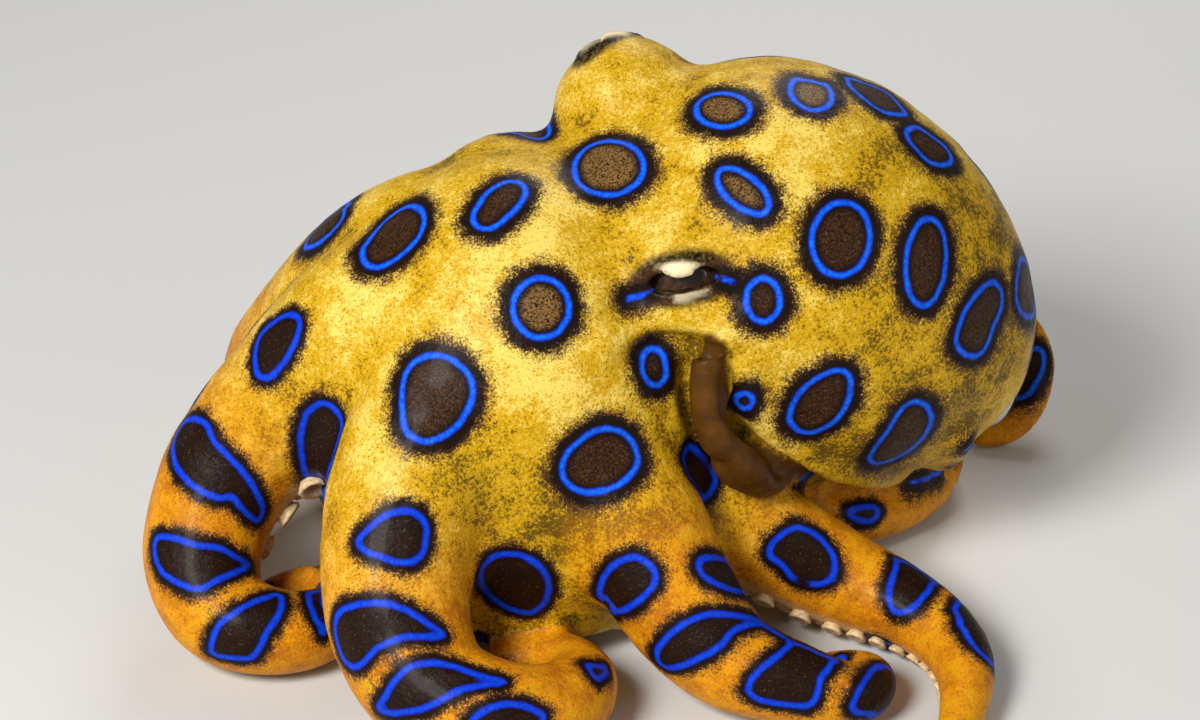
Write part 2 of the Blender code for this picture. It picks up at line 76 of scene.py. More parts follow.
def joinInto(bm, part):
    mesh = bpy.data.meshes.new("part")
    part.to_mesh(mesh)
    part.free()
    bm.from_mesh(mesh)
    bpy.data.meshes.remove(mesh)


def addBall(bm, centre, radii, turn=None, detail=(32, 20)):
    # a ball of its own first, because the operator slows down in a full mesh
    matrix = Matrix.Translation(place(centre))
    if turn:
        matrix = matrix @ turn.to_4x4()
    matrix = matrix @ Matrix.Diagonal((*(Vector(radii) * mm), 1.0))
    ball = bmesh.new()
    bmesh.ops.create_uvsphere(ball, u_segments=detail[0], v_segments=detail[1], radius=1.0, matrix=matrix)
    joinInto(bm, ball)


def facing(direction, roll=0.0):
    # a turn whose Z looks along the direction and whose X stays level, then rolled
    z = Vector(direction).normalized()
    x = Vector((0, 0, 1)).cross(z).normalized()
    return Matrix((x, z.cross(x), z)).transposed() @ Matrix.Rotation(math.radians(roll), 3, "Z")


def smoothStep(value):
    value = min(max(value, 0.0), 1.0)
    return value * value * (3 - 2 * value)


def rise(value, start, span):
    # a soft step from 0 at the start to 1 at the end of the span
    return smoothStep((value - start) / span)


def extrudedRings(bm, sides, count):
    # a closed tube extruded from a circle, whose rings are then moved to their places
    bmesh.ops.create_circle(bm, cap_ends=True, segments=sides, radius=1.0)
    edges, rings = list(bm.edges), [list(bm.verts)]
    while len(rings) < count:
        grown = bmesh.ops.extrude_edge_only(bm, edges=edges)["geom"]
        rings.append([part for part in grown if isinstance(part, bmesh.types.BMVert)])
        fresh = set(rings[-1])
        edges = [part for part in grown if isinstance(part, bmesh.types.BMEdge) and set(part.verts) <= fresh]
    bmesh.ops.edgeloop_fill(bm, edges=edges)
    return rings


def sweptTube(bm, points, radii, sides=20):
    made = bmesh.new()
    across = Vector((0, 0, 1))
    for i, ring in enumerate(extrudedRings(made, sides, len(points))):
        ahead = (points[min(i + 1, len(points) - 1)] - points[max(i - 1, 0)]).normalized()
        across = (across - ahead * across.dot(ahead)).normalized()
        turn = Matrix((across, ahead.cross(across), ahead)).transposed().to_4x4()
        size = radii[i] * mm
        spot = Matrix.Translation(place(points[i])) @ turn @ Matrix.Diagonal((size, size, size, 1.0))
        bmesh.ops.transform(made, matrix=spot, verts=ring)
    bmesh.ops.recalc_face_normals(made, faces=made.faces)
    joinInto(bm, made)


# the picture's size is in its own pixels, and pixelsPerMm is its scale at the animal
view = dict(target=Vector((0, 0, 18)), distance=247, elevation=30, lens=100, sensor=36, size=(1200, 720),
            pixelsPerMm=13.5)


def buildCamera():
    data = bpy.data.cameras.new("camera")
    data.lens = view["lens"]
    data.sensor_width = view["sensor"]
    data.clip_start = 0.01
    data.clip_end = 5.0
    camera = bpy.data.objects.new("camera", data)
    bpy.context.scene.collection.objects.link(camera)
    tilt = math.radians(view["elevation"])
    away = Vector((0, -math.cos(tilt), math.sin(tilt)))
    camera.location = place(view["target"] + view["distance"] * away)
    camera.rotation_euler = (math.pi / 2 - tilt, 0, 0)
    bpy.context.scene.camera = camera
    return camera


camera = buildCamera()
bpy.context.view_layer.update()


def pixelRay(x, y):
    # where the camera looks from, and along which line, for one pixel of the picture
    reach = view["lens"] / view["sensor"] * view["size"][0]
    line = Vector((x - view["size"][0] / 2, view["size"][1] / 2 - y, -reach))
    return camera.location.copy(), (camera.matrix_world.to_3x3() @ line).normalized()


# the arms' routes, as in the solids; each bend is a length and the degrees it turns
arms = dict(
    steps=120, ease=4, rootOut=5.0, tip=0.8, stand=1.1, rootShare=0.36,
    routes={
        "left1": dict(azimuth=192, heading=187, height=24.0, landing=27, root=7.2,
                      bends=((14, 0), (17, 185), (9, 110), (8, 130))),
        "left2": dict(azimuth=238, heading=240, height=20.5, landing=22, root=7.2,
                      bends=((10, 0), (15, 108), (12, 125), (9, 145), (3, 60))),
        "left3": dict(azimuth=292, heading=314, height=17.0, landing=20, root=6.8,
                      bends=((12.5, -2), (14, 42), (8, 172), (2.5, 20))),
        "left4": dict(azimuth=330, heading=347, height=12.0, landing=22, root=5.8,
                      bends=((17, 0), (10, -28), (8, -55), (6, -15), (5, 40))),
        "right1": dict(azimuth=145, heading=152, height=25.0, landing=26, root=7.4,
                       bends=((13, 5), (16.5, -180), (9, -120), (7, -120))),
        "right2": dict(azimuth=100, heading=80, height=27.0, landing=26, root=6.8,
                       bends=((16, -4), (15, 110), (9, 140), (6, 90))),
        "right3": dict(azimuth=55, heading=62, height=14.0, landing=20, root=7.4, hump=(46, 5.0, 10),
                       bends=((15, -5), (12, -50), (17, 2), (9, -140), (4, -60))),
        "right4": dict(azimuth=15, heading=8, height=8.5, landing=20, root=5.2,
                       bends=((18, -4), (12, 62), (8, 50), (7, 120), (6, 60))),
    },
)
# mouth and lip are the radius and the height of the lips, and what follows them are shares of the two
crown = dict(
    centre=Vector((-6.0, -1.0, 13.0)), radii=(15.5, 15.5, 21.5), underside=2.2, mouth=3.4, lip=1.1,
    lipFolds=14, foldOut=0.66, foldRise=0.1, foldSize=(0.4, 0.2, 1.2), hollow=(0.42, 2.2),
)


def armRoute(arm):
    # points and radii at even steps from inside the crown to the tip, in millimetres
    length = sum(part for part, turn in arm["bends"])
    step = length / arms["steps"]
    rates = []
    for part, turn in arm["bends"]:
        rates += [math.radians(turn) / part] * round(part / step)
    rates += [rates[-1]] * (arms["steps"] + 1 - len(rates))
    azimuth, heading = math.radians(arm["azimuth"]), math.radians(arm["heading"])
    x = crown["centre"].x + arms["rootOut"] * math.cos(azimuth)
    y = crown["centre"].y + arms["rootOut"] * math.sin(azimuth)
    points, radii = [], []
    for i in range(arms["steps"] + 1):
        near = rates[max(i - arms["ease"], 0):i + arms["ease"] + 1]
        radius = arms["tip"] + (arm["root"] - arms["tip"]) * (1 - i / arms["steps"])
        fall = 1 - smoothStep(i * step / arm["landing"])
        top, extra, half = arm.get("hump", (0, 0, 1))
        lift = arm["height"] * fall + extra * smoothStep(1 - abs(i * step - top) / half)
        points.append(Vector((x, y, radius * arms["stand"] * (1 - fall) + lift)))
        radii.append(radius)
        heading += sum(near) / len(near) * step
        x += math.cos(heading) * step
        y += math.sin(heading) * step
    return points, radii


routes = {name: armRoute(arm) for name, arm in arms["routes"].items()}

mantle = dict(centre=Vector((15.5, 5.0, 22.1)), radii=(18.6, 15.2, 15.2), taper=0.12, droop=31, swing=4)
head = dict(centre=(3.5, 3.2, 25.4), radii=(10.8, 11.0, 10.3))
eyes = dict(
    radius=4.2, play=0.25, lid=0.45, lidRise=1.0, slit=(2.6, 0.85, 4.0), pearl=(1.15, 0.5, 0.55),
    pearlAt=(0.05, 0.5), pearlRise=1.05, moundShape=(1.06, 1.0, 0.98),
    left=dict(at=Vector((6.0, -4.4, 27.6)), looks=(-0.05, -0.9, 0.42), mound=5.6, roll=9),
    right=dict(at=Vector((2.0, 9.6, 34.2)), looks=(-0.31, 0.35, 0.88), mound=5.4, roll=10),
)
funnel = dict(
    route=((14.4, -3.6, 12.8), (12.2, -8.0, 13.4), (9.9, -10.6, 15.4), (8.4, -11.4, 18.4),
           (7.75, -11.3, 21.8), (7.6, -10.7, 24.6)),
    radii=(1.9, 1.85, 1.7, 1.55, 1.4, 1.2), bore=(0.7, 0.49, 3.0),
)
skin = dict(bodyVoxel=0.8, bodySmooth=8, voxel=0.42, smooth=2)
web = dict(reach=(6.0, 12.5), rows=5, across=(0.25, 0.5, 0.75), thick=0.86, thinOut=0.1, thinBetween=0.2)


def addMantle(bm):
    # an egg laid along its own axis, narrower towards its end
    egg = bmesh.new()
    turn = (Matrix.Rotation(math.radians(mantle["swing"]), 3, "Z")
            @ Matrix.Rotation(math.radians(mantle["droop"] + 90), 3, "Y"))
    length, width, height = mantle["radii"]
    addBall(egg, mantle["centre"], (height, width, length), turn, (64, 40))
    middle, axis = place(mantle["centre"]), turn.col[2]
    for vert in egg.verts:
        along = (vert.co - middle).dot(axis)
        vert.co -= (vert.co - middle - axis * along) * mantle["taper"] * along / (length * mm)
    joinInto(bm, egg)


def addWeb(bm, first, second):
    # rows of balls between two neighbouring arms, thinner outwards and halfway between them
    low, high = web["reach"]
    for row in range(web["rows"]):
        ends = []
        for points, radii in (first, second):
            step = (points[1] - points[0]).length
            i = min(round((low + (high - low) * row / (web["rows"] - 1)) / step), arms["steps"])
            ends.append((points[i], radii[i]))
        for k in web["across"]:
            thick = web["thick"] - web["thinOut"] * row - web["thinBetween"] * (1 - abs(2 * k - 1))
            size = (ends[0][1] + ends[1][1]) / 2 * thick
            addBall(bm, ends[0][0].lerp(ends[1][0], k), (size, size, size), None, (16, 10))


def buildBody():
    bm = bmesh.new()
    addBall(bm, head["centre"], head["radii"], None, (48, 32))
    addBall(bm, crown["centre"], crown["radii"], None, (48, 32))
    for side in ("left", "right"):
        eye = eyes[side]
        mound = [eye["mound"] * share for share in eyes["moundShape"]]
        addBall(bm, eye["at"], mound, facing(eye["looks"], eye["roll"]))
    names = list(routes)
    order = names[:4] + names[:3:-1]      # once round the crown
    for name, following in zip(order, order[1:] + order[:1]):
        addWeb(bm, routes[name], routes[following])
    for points, radii in routes.values():
        for i in range(0, int(arms["rootShare"] * arms["steps"]), 2):
            addBall(bm, points[i], (radii[i],) * 3, None, (20, 12))
    addMantle(bm)
    body = pieceFrom("body", bm)
    applied(body, "REMESH", mode="VOXEL", voxel_size=skin["bodyVoxel"] * mm)
    applied(body, "SMOOTH", factor=0.5, iterations=skin["bodySmooth"])
    return body


def cut(piece, bm, operation="DIFFERENCE"):
    cutter = pieceFrom("cutter", bm)
    applied(piece, "BOOLEAN", object=cutter, operation=operation, solver="MANIFOLD")
    bpy.data.objects.remove(cutter, do_unlink=True)


def lidPoints(eye, count=32):
    # the rolled edge of the lids, a ring that lies on the eyeball
    turn = facing(eye["looks"], eye["roll"])
    reach = eyes["radius"] + eyes["lidRise"]
    for i in range(count):
        angle = math.tau * i / count
        across = (eyes["slit"][0] + eyes["lid"]) * math.cos(angle)
        up = (eyes["slit"][1] + eyes["lid"]) * math.sin(angle)
        depth = math.sqrt(reach ** 2 - across ** 2 - up ** 2)
        yield eye["at"] + turn @ Vector((across, up, depth))


def curved(before, start, end, after, t):
    # a point of the smooth curve through four corners, between the middle two
    return 0.5 * (2 * start + (end - before) * t + (2 * before - 5 * start + 4 * end - after) * t ** 2
                  + (3 * start - before - 3 * end + after) * t ** 3)


def smoothRoute(points, radii, count=6):
    points = [Vector(point) for point in points]
    fine, sizes = [], []
    for i in range(len(points) - 1):
        for k in range(count):
            fine.append(curved(points[max(i - 1, 0)], points[i], points[i + 1],
                               points[min(i + 2, len(points) - 1)], k / count))
            sizes.append(radii[i] + (radii[i + 1] - radii[i]) * k / count)
    return fine + [points[-1]], sizes + [radii[-1]]


def pearlSpot(eye):
    # the cream lobe that hangs over the slit from the upper lid
    across, up = eyes["pearlAt"]
    depth = math.sqrt((eyes["radius"] + eyes["pearlRise"]) ** 2 - across ** 2 - up ** 2)
    return eye["at"] + facing(eye["looks"], eye["roll"]) @ Vector((across, up, depth))


def cutUnderside(body):
    # flat beneath, a little above the floor, and hollow at the mouth; gives the puckered lips to join to it
    bm = bmesh.new()
    bm.from_mesh(body.data)
    level = place((0, 0, crown["underside"]))
    everything = bm.verts[:] + bm.edges[:] + bm.faces[:]
    bmesh.ops.bisect_plane(bm, geom=everything, plane_co=level, plane_no=(0, 0, -1), clear_outer=True)
    rim = [edge for edge in bm.edges if edge.is_boundary]
    bmesh.ops.triangle_fill(bm, edges=rim, use_beauty=True)
    bmesh.ops.recalc_face_normals(bm, faces=bm.faces)
    bm.to_mesh(body.data)
    bm.free()
    mouth = Vector((crown["centre"].x, crown["centre"].y, crown["underside"]))
    long, wide, deep = crown["foldSize"]
    fold = (crown["mouth"] * long, crown["mouth"] * wide, crown["lip"] * deep)
    lips = bmesh.new()
    for i in range(crown["lipFolds"]):
        angle = math.tau * i / crown["lipFolds"]
        spoke = Matrix.Rotation(angle, 3, "Z")
        middle = mouth + spoke @ Vector((crown["mouth"] * crown["foldOut"], 0, crown["foldRise"]))
        addBall(lips, middle, fold, spoke, (16, 10))
    wide, deep = crown["hollow"]
    hollow = bmesh.new()
    addBall(hollow, mouth, (crown["mouth"] * wide,) * 2 + (crown["lip"] * deep,), None, (24, 14))
    cut(body, hollow)
    return lips


def funnelPiece():
    bm = bmesh.new()
    sweptTube(bm, *smoothRoute(funnel["route"], funnel["radii"]))
    piece = pieceFrom("funnelTube", bm)
    tip, back = Vector(funnel["route"][-1]), Vector(funnel["route"][-2])
    back = (back - tip).normalized()
    *radii, depth = funnel["bore"]
    bore = bmesh.new()
    sweptTube(bore, [tip - back, tip + back * depth], radii)
    cut(piece, bore)
    return piece


def buildSkin():
    body = buildBody()
    bm = cutUnderside(body)
    for side in ("left", "right"):
        eye = eyes[side]
        turn = facing(eye["looks"], eye["roll"])
        room = eyes["radius"] + eyes["play"]
        socket = bmesh.new()
        addBall(socket, eye["at"], (room, room, room), turn, (48, 28))
        cut(body, socket)
        slit = bmesh.new()
        addBall(slit, eye["at"] + turn @ Vector((0, 0, eyes["radius"])), eyes["slit"], turn)
        cut(body, slit)
        for point in lidPoints(eye):
            addBall(bm, point, (eyes["lid"],) * 3, None, (16, 10))
        addBall(bm, pearlSpot(eye), eyes["pearl"], turn, (20, 12))
    for points, radii in routes.values():
        sweptTube(bm, points, radii)
        addBall(bm, points[-1], (radii[-1],) * 3, None, (16, 10))
    for part in (body, funnelPiece()):
        bm.from_mesh(part.data)
        bpy.data.objects.remove(part, do_unlink=True)
    piece = pieceFrom("skin", bm)
    applied(piece, "REMESH", mode="VOXEL", voxel_size=skin["voxel"] * mm)
    applied(piece, "SMOOTH", factor=0.5, iterations=skin["smooth"])
    for vert in piece.data.vertices:
        vert.co.z = max(vert.co.z, 0.0)
    piece.data.shade_smooth()
    return piece


octopusSkin = buildSkin()
print("skin built,", len(octopusSkin.data.polygons), "faces")


def readValues(piece, what):
    values = np.zeros(len(piece.data.vertices) * 3)
    piece.data.vertices.foreach_get(what, values)
    return values.reshape(-1, 3)


def keepValues(piece, **layers):
    for name, values in layers.items():
        layer = piece.data.attributes.new(name, "FLOAT", "POINT")
        layer.data.foreach_set("value", np.asarray(values, np.float32))


def treeOf(piece):
    return BVHTree.FromObject(piece, bpy.context.evaluated_depsgraph_get())


def gapsTo(spots, loop, closed):
    # the distance of each spot to a line of points, all in millimetres
    starts, ends = (loop, np.roll(loop, -1, 0)) if closed else (loop[:-1], loop[1:])
    alongs = ends - starts
    here = spots[:, None, :] - starts[None]
    shares = np.clip((here * alongs).sum(2) / ((alongs ** 2).sum(1) + 1e-9), 0, 1)
    return np.linalg.norm(here - shares[..., None] * alongs, axis=2).min(1)


def seen(tree, pixel):
    # the skin's point and normal at a pixel, or the nearest to its line of sight
    start, line = pixelRay(*pixel)
    spot, normal, face, far = tree.ray_cast(start, line)
    if spot is None:
        spot, normal, face, far = tree.find_nearest(start + line * (place(view["target"]) - start).length)
        spot, normal, face, far = tree.find_nearest(start + line * (spot - start).dot(line))
    return spot, normal


# folds of the skin as a height, a width and a route in the picture's pixels, then the waves all over,
# which start at one height above the floor and are full a little higher
folds = dict(
    ridges=[
        (0.40, 1.0, [(608, 344), (638, 331), (668, 326), (702, 328), (742, 326)]),
        (0.95, 1.2, [(722, 340), (740, 366), (748, 400), (768, 432), (806, 456), (862, 474), (920, 472),
                     (970, 448)]),
        (0.50, 0.9, [(674, 350), (672, 385), (677, 422), (700, 455)]),
    ],
    grooves=[
        (0.55, 0.9, [(640, 350), (664, 339), (690, 342), (704, 350)]),
        (0.60, 0.8, [(684, 366), (682, 400), (692, 434), (722, 470), (752, 492)]),
        (0.90, 0.9, [(726, 360), (727, 385), (729, 408), (746, 440), (784, 472), (840, 492), (900, 494),
                     (960, 470)]),
        (0.35, 0.8, [(622, 302), (650, 296), (690, 300), (735, 296)]),
    ],
    wave=0.16, waveSize=4.5, ripple=0.05, rippleSize=1.5, above=(1.0, 4.0),
)


def foldSkin(piece):
    tree = treeOf(piece)
    spots, sides = readValues(piece, "co") / mm, readValues(piece, "normal")
    lift = np.zeros(len(spots))
    for sign, group in ((1, folds["ridges"]), (-1, folds["grooves"])):
        for height, width, route in group:
            line = np.array([seen(tree, pixel)[0] for pixel in route]) / mm
            lift += sign * height * np.exp(-(gapsTo(spots, line, False) / width) ** 2)
    for i, vert in enumerate(piece.data.vertices):
        point = Vector(spots[i])
        high = rise(point.z, *folds["above"])
        wave = noise.noise(point / folds["waveSize"]) * folds["wave"]
        ripple = noise.noise(point / folds["rippleSize"]) * folds["ripple"]
        vert.co += Vector(sides[i]) * (lift[i] + high * (wave + ripple)) * mm
        vert.co.z = max(vert.co.z, 0.0)


foldSkin(octopusSkin)
print("folds laid")

ringTones = dict(tan=0.0, brown=0.5, dark=1.0)
# the rings that the picture shows, in its pixels: an oval as middle, half sizes and tilt, or an outline
rings = dict(
    head=("tan", [
        ((723, 110), (27, 17), 0), ((811, 93), (22, 16), -25), ((743, 191), (31, 16), -38),
        ((609, 168), (35, 27), 5), ((541, 308), (28, 30), 0),
    ]),
    body=("brown", [
        [(848, 78), (864, 83), (886, 92), (900, 106), (905, 114), (892, 114), (878, 109), (862, 97),
         (850, 86)],
        [(907, 131), (917, 127), (931, 136), (945, 147), (952, 159), (945, 165), (931, 163), (918, 151),
         (909, 141)],
        ((841, 239), (37, 29), 82), ((926, 262), (44, 20), 85),
        [(956, 340), (964, 313), (976, 295), (991, 282), (1001, 290), (1001, 308), (993, 328),
         (987, 345), (977, 356), (963, 353)],
        [(1021, 258), (1017, 280), (1017, 303), (1024, 315), (1033, 316), (1040, 305), (1039, 288),
         (1030, 268)],
        [(1013, 396), (1014, 372), (1026, 352), (1041, 350), (1044, 364), (1037, 382), (1026, 396)],
        ((763, 300), (17, 22), 0), ((654, 367), (19, 12), -80), ((744, 401), (9, 8), 0),
        [(790, 413), (798, 395), (814, 380), (832, 371), (846, 372), (851, 386), (846, 405), (836, 420),
         (815, 432), (799, 431), (791, 423)],
        [(902, 409), (916, 401), (929, 409), (931, 423), (921, 440), (902, 455), (882, 463), (871, 461),
         (872, 452), (887, 432)],
        [(771, 467), (788, 465), (806, 471), (816, 480), (800, 478), (784, 474)],
        [(562, 467), (568, 453), (583, 438), (602, 429), (621, 432), (635, 446), (637, 465), (625, 480),
         (606, 490), (583, 492), (566, 482)],
        [(362, 253), (367, 243), (383, 223), (400, 210), (413, 206), (423, 213), (423, 227), (415, 242),
         (398, 258), (380, 267), (367, 265)],
        [(473, 218), (478, 205), (493, 188), (512, 181), (525, 187), (523, 200), (512, 213), (493, 228),
         (478, 227)],
        [(305, 245), (313, 223), (330, 207), (342, 202), (345, 212), (338, 225), (323, 240), (310, 247)],
        [(513, 135), (520, 123), (540, 112), (553, 113), (548, 122), (530, 133)],
        [(402, 407), (403, 383), (413, 363), (433, 355), (453, 360), (470, 377), (473, 394), (468, 409),
         (455, 428), (432, 441), (416, 439), (406, 430)],
    ]),
    arms=("dark", [
        [(689, 446), (683, 459), (682, 478), (693, 494), (702, 499), (713, 488), (714, 475), (704, 459)],
        [(623, 560), (639, 558), (654, 570), (654, 584), (646, 594), (633, 605), (620, 611), (608, 611),
         (601, 603), (600, 589), (607, 572)],
        [(698, 564), (704, 558), (718, 558), (733, 564), (752, 578), (764, 591), (757, 595), (737, 591),
         (718, 584), (704, 576)],
        [(793, 578), (783, 566), (770, 555), (773, 543), (787, 531), (802, 528), (821, 539), (833, 556),
         (834, 574), (825, 583), (810, 584)],
        [(657, 652), (664, 641), (676, 629), (692, 620), (710, 614), (733, 615), (760, 620), (791, 624),
         (768, 624), (748, 625), (733, 631), (721, 645), (706, 655), (688, 663), (672, 668), (660, 664)],
        [(798, 639), (814, 637), (833, 645), (831, 664), (821, 678), (816, 697), (806, 706), (775, 703),
         (754, 697), (748, 687), (760, 670), (779, 655)],
        [(885, 660), (898, 664), (910, 676), (908, 693), (898, 705), (894, 714), (875, 714), (854, 711),
         (856, 697), (868, 676)],
        [(871, 643), (883, 642), (895, 645), (895, 655), (887, 658), (875, 653)],
        [(904, 547), (933, 556), (933, 582), (918, 603), (904, 612), (893, 610), (889, 593), (895, 570)],
        [(983, 591), (987, 599), (1002, 620), (1008, 635), (1002, 647), (989, 664), (977, 670),
         (970, 655), (956, 633), (968, 616)],
        [(956, 484), (970, 478), (986, 486), (992, 502), (984, 522), (972, 532), (958, 524), (954, 504)],
        [(850, 510), (872, 506), (878, 512), (872, 521), (855, 519)],
        [(588, 664), (600, 667), (612, 664), (604, 675), (597, 679), (591, 672)],
        [(616, 688), (626, 682), (640, 684), (648, 695), (650, 716), (640, 706), (628, 698), (618, 694)],
        [(255, 363), (258, 340), (270, 325), (287, 315), (298, 318), (299, 330), (290, 353), (273, 375),
         (260, 377)],
        [(323, 403), (338, 413), (344, 434), (342, 458), (332, 480), (320, 487), (308, 478), (302, 458),
         (301, 432), (308, 412)],
        [(358, 541), (374, 524), (391, 513), (410, 511), (424, 522), (426, 536), (422, 555), (405, 563),
         (385, 558), (366, 551)],
        [(499, 555), (520, 555), (537, 564), (548, 581), (546, 601), (533, 612), (520, 612), (499, 603),
         (483, 587), (481, 573), (487, 562)],
        [(335, 630), (338, 614), (352, 606), (372, 603), (393, 605), (412, 613), (428, 624), (443, 635),
         (425, 637), (405, 637), (388, 643), (374, 651), (364, 662), (354, 667), (344, 660), (338, 645)],
        [(443, 636), (466, 634), (489, 640), (509, 651), (511, 656), (497, 658), (474, 655), (455, 646)],
        [(378, 708), (385, 697), (397, 678), (412, 666), (435, 663), (458, 668), (481, 676), (504, 682),
         (481, 685), (458, 691), (443, 699), (424, 708), (401, 713), (385, 712)],
        [(470, 724), (482, 712), (500, 705), (520, 705), (536, 711), (543, 718), (530, 735), (500, 740),
         (478, 735)],
        [(173, 446), (179, 429), (190, 419), (206, 424), (214, 441), (232, 460), (248, 478), (257, 494),
         (263, 508), (259, 520), (250, 516), (241, 507), (231, 496), (218, 498), (195, 487), (180, 472),
         (174, 458)],
        [(156, 539), (170, 537), (197, 545), (218, 548), (234, 556), (249, 565), (235, 572), (218, 580),
         (199, 589), (179, 583), (162, 572), (155, 555)],
        [(280, 595), (262, 599), (243, 608), (222, 622), (214, 635), (212, 653), (235, 658), (251, 658),
         (260, 647), (268, 630), (280, 612)],
        [(328, 581), (316, 582), (309, 592), (311, 608), (319, 624), (331, 635), (329, 618), (323, 600)],
    ]),
)
# short blue strokes that close no ring, and the place where one ring's line is broken
strokes = [
    [(628, 299), (640, 296), (653, 289)], [(715, 277), (725, 279), (734, 283)],
    [(975, 452), (990, 460), (1005, 476)], [(912, 482), (926, 479), (940, 472)],
]
lineBreak = (802, 583)
# where a ring's outline leaves its own stretch of skin, as cosines and as shares of the ring's size
laying = dict(grazing=0.2, steepest=0.25, turned=-0.1, stray=1.4, wrap=1.1)
# the rings that the picture doesn't show: spread over the far side, in millimetres, and in two rows along
# the arms, in shares of their length and radius and degrees from their top
farRings = dict(
    seed=7, tries=9000, size=(2.0, 2.7), shape=(0.7, 0.95), apart=6.0, gap=0.9, lowest=9, under=-0.35,
    peek=0.25, belowFrame=12, behind=0.8, armStretch=(0.20, 0.97), armPitch=0.95, armSize=(0.496, 0.30),
    armApart=0.9, armSides=(38, 52), offArm=0.5,
)
# how far a ring reaches over the skin, and how much of its line the break takes away and fades over
painting = dict(far=9.0, reach=2.5, turned=-0.3, level=0.75, lineBreak=(0.5, 0.3))


def closedCurve(corners, between=3):
    corners = [Vector(corner) for corner in corners]
    count = len(corners)
    for i in range(count):
        for k in range(between):
            following, last = corners[(i + 1) % count], corners[(i + 2) % count]
            yield curved(corners[i - 1], corners[i], following, last, k / between)


def ringOutline(ring, count=28):
    # its middle and outline in pixels
    if len(ring) > 3:
        outline = list(closedCurve(ring))
        return sum(outline, Vector((0, 0))) / len(outline), outline
    middle, (a, b), tilt = ring
    tilt = math.radians(tilt)
    outline = []
    for i in range(count):
        u, v = a * math.cos(math.tau * i / count), b * math.sin(math.tau * i / count)
        outline.append(Vector((middle[0] + u * math.cos(tilt) - v * math.sin(tilt),
                               middle[1] - u * math.sin(tilt) - v * math.cos(tilt))))
    return Vector(middle), outline


def ringsFromPicture(tree):
    # each outline is laid on the skin along the camera's lines of sight; where one of them leaves the ring's
    # own stretch of skin, the outline goes on along the plane of the skin at its middle
    for tone, group in rings.values():
        for ring in group:
            middle, outline = ringOutline(ring)
            centre, normal = seen(tree, middle)
            reach = max((corner - middle).length for corner in outline) / view["pixelsPerMm"] * mm
            line = pixelRay(*middle)[1]
            if abs(line.dot(normal)) < laying["grazing"]:
                loop = loopOnSkin(tree, centre, normal, line, (reach / mm, reach / mm))
                yield loop, normal, ringTones[tone]
                continue
            loop = []
            for corner in outline:
                start, line = pixelRay(*corner)
                spot, side, face, far = tree.ray_cast(start, line)
                stray = spot is None or (spot - centre).length > reach * laying["stray"]
                if stray or side.dot(normal) < laying["turned"]:
                    way = start + line * (centre - start).dot(line) - centre
                    way -= line * way.dot(normal) / min(line.dot(normal), -laying["steepest"])
                    wrap = reach * laying["wrap"]
                    length = wrap if spot is None else min(way.length, wrap)
                    spot = tree.find_nearest(centre + way.normalized() * length)[0]
                loop.append(spot)
            yield loop, normal, ringTones[tone]


def strokesFromPicture(tree):
    for stroke in strokes:
        yield [seen(tree, pixel)[0] for pixel in stroke], seen(tree, stroke[1])[1], ringTones["brown"]


def loopOnSkin(tree, centre, normal, along, sizes, count=24):
    # an oval drawn in the plane of the skin and laid down on it
    side = normal.cross(along).normalized()
    along = side.cross(normal).normalized()
    loop = []
    for i in range(count):
        angle = math.tau * i / count
        spot = centre + (along * math.cos(angle) * sizes[0] + side * math.sin(angle) * sizes[1]) * mm
        loop.append(tree.find_nearest(spot)[0])
    return loop


def isSeen(tree, spot):
    # true where the picture shows this point of the skin
    start = camera.location
    line = (spot - start).normalized()
    hit = tree.ray_cast(start, line)[0]
    eye = camera.matrix_world.inverted() @ spot
    reach = view["lens"] / view["sensor"] * view["size"][0]
    x, y = abs(reach * eye.x / eye.z), abs(reach * eye.y / eye.z)
    inside = x < view["size"][0] / 2 and y < view["size"][1] / 2 + farRings["belowFrame"]
    return inside and hit is not None and (hit - spot).length < farRings["behind"] * mm


